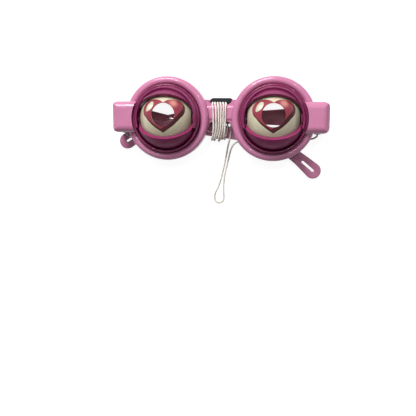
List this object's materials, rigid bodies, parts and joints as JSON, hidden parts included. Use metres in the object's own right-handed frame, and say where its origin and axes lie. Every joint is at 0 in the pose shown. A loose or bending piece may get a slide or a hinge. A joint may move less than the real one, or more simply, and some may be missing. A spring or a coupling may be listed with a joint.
{
  "type": "novelty glasses",
  "caption": "Round-rimmed novelty glasses with bulging see-through eyeballs, blinking eyelids and a chin cord.",
  "frame": {"origin": "under the middle of the pair's outline, on the table that it lies on", "axes": "+Z out of the wearer's face, +Y towards the forehead, +X to the right of someone facing the glasses"},
  "size_m": [0.1593, 0.0966, 0.0392],
  "materials": {
    "gloss_pink": "glossy opaque pink",
    "arm_pink": "satin dusty pink",
    "magenta": "glossy deep magenta",
    "ivory": "satin ivory with a printed heart",
    "gear_plastic": "natural acetal",
    "black_rubber": "soft matte",
    "steel": "plain",
    "cord": "soft twisted white cord"
  },
  "bodies": {
    "frame": {"front_frame": "gloss_pink", "nose_pad": "black_rubber", "cover_screws": "steel", "housing_screws": "steel", "left_rear_cover": "gloss_pink", "left_bezel": "magenta", "left_eyeball": "ivory", "left_inner_pin": "steel", "left_gear_housing": "gloss_pink", "left_hinge_housing": "gloss_pink", "left_return_spring": "steel", "left_cord_bush": "black_rubber", "left_hinge_pin": "steel", "right_rear_cover": "gloss_pink", "right_bezel": "magenta", "right_eyeball": "ivory", "right_inner_pin": "steel", "right_gear_housing": "gloss_pink", "right_hinge_housing": "gloss_pink", "right_return_spring": "steel", "right_cord_bush": "black_rubber", "right_hinge_pin": "steel", "cord_left_run": "cord", "cord_winding": "cord", "cord_tail": "cord", "cord_right_run": "cord"},
    "left_upper_lid": {"left_upper_lid": "magenta", "left_upper_gear": "gear_plastic"},
    "left_lower_lid": {"left_lower_lid": "magenta", "left_lower_gear": "gear_plastic"},
    "left_slider": {"left_rack_slider": "gear_plastic"},
    "left_arm": {"left_arm": "arm_pink"},
    "right_upper_lid": {"right_upper_lid": "magenta", "right_upper_gear": "gear_plastic"},
    "right_lower_lid": {"right_lower_lid": "magenta", "right_lower_gear": "gear_plastic"},
    "right_slider": {"right_rack_slider": "gear_plastic"},
    "right_arm": {"right_arm": "arm_pink"}
  },
  "joints": [
    {"name": "left_upper_lid_blink", "type": "hinge", "parent": "frame", "child": "left_upper_lid", "pos_m": [-0.03925, 0.007, 0.02], "axis": [1, 0, 0], "range_deg": [0, 43], "stiffness_Nm_per_rad": 0.0015, "springref_deg": -20.05},
    {"name": "left_lower_lid_blink", "type": "hinge", "parent": "frame", "child": "left_lower_lid", "pos_m": [-0.03925, 0.007, 0.02], "axis": [-1, 0, 0], "range_deg": [0, 43]},
    {"name": "left_slider_pull", "type": "slide", "parent": "frame", "child": "left_slider", "axis": [0, -1, 0], "range_m": [0, 0.00301], "deforming": ["left_return_spring"]},
    {"name": "right_upper_lid_blink", "type": "hinge", "parent": "frame", "child": "right_upper_lid", "pos_m": [0.03925, 0.007, 0.02], "axis": [1, 0, 0], "range_deg": [0, 43], "stiffness_Nm_per_rad": 0.0015, "springref_deg": -20.05},
    {"name": "right_lower_lid_blink", "type": "hinge", "parent": "frame", "child": "right_lower_lid", "pos_m": [0.03925, 0.007, 0.02], "axis": [-1, 0, 0], "range_deg": [0, 43]},
    {"name": "right_slider_pull", "type": "slide", "parent": "frame", "child": "right_slider", "axis": [0, -1, 0], "range_m": [0, 0.00301], "deforming": ["right_return_spring"]},
    {"name": "right_arm_fold", "type": "hinge", "parent": "frame", "child": "right_arm", "pos_m": [0.07125, 0.008, 0.0023], "axis": [-0.0732, -0.9973, 0], "range_deg": [0, 95]},
    {"name": "left_arm_fold", "type": "hinge", "parent": "frame", "child": "left_arm", "pos_m": [-0.07125, 0.008, 0.0056], "axis": [0.0732, 0.9973, 0], "range_deg": [0, 90.5]}
  ],
  "couplings": [
    {"joint": "left_lower_lid_blink", "follows": "left_upper_lid_blink", "ratio": 1},
    {"joint": "left_slider_pull", "follows": "left_upper_lid_blink", "m_per_rad": 0.004},
    {"joint": "right_lower_lid_blink", "follows": "right_upper_lid_blink", "ratio": 1},
    {"joint": "right_slider_pull", "follows": "right_upper_lid_blink", "m_per_rad": 0.004},
    {"joint": "left_arm_fold", "follows": "right_arm_fold", "ratio": 0.95}
  ]
}
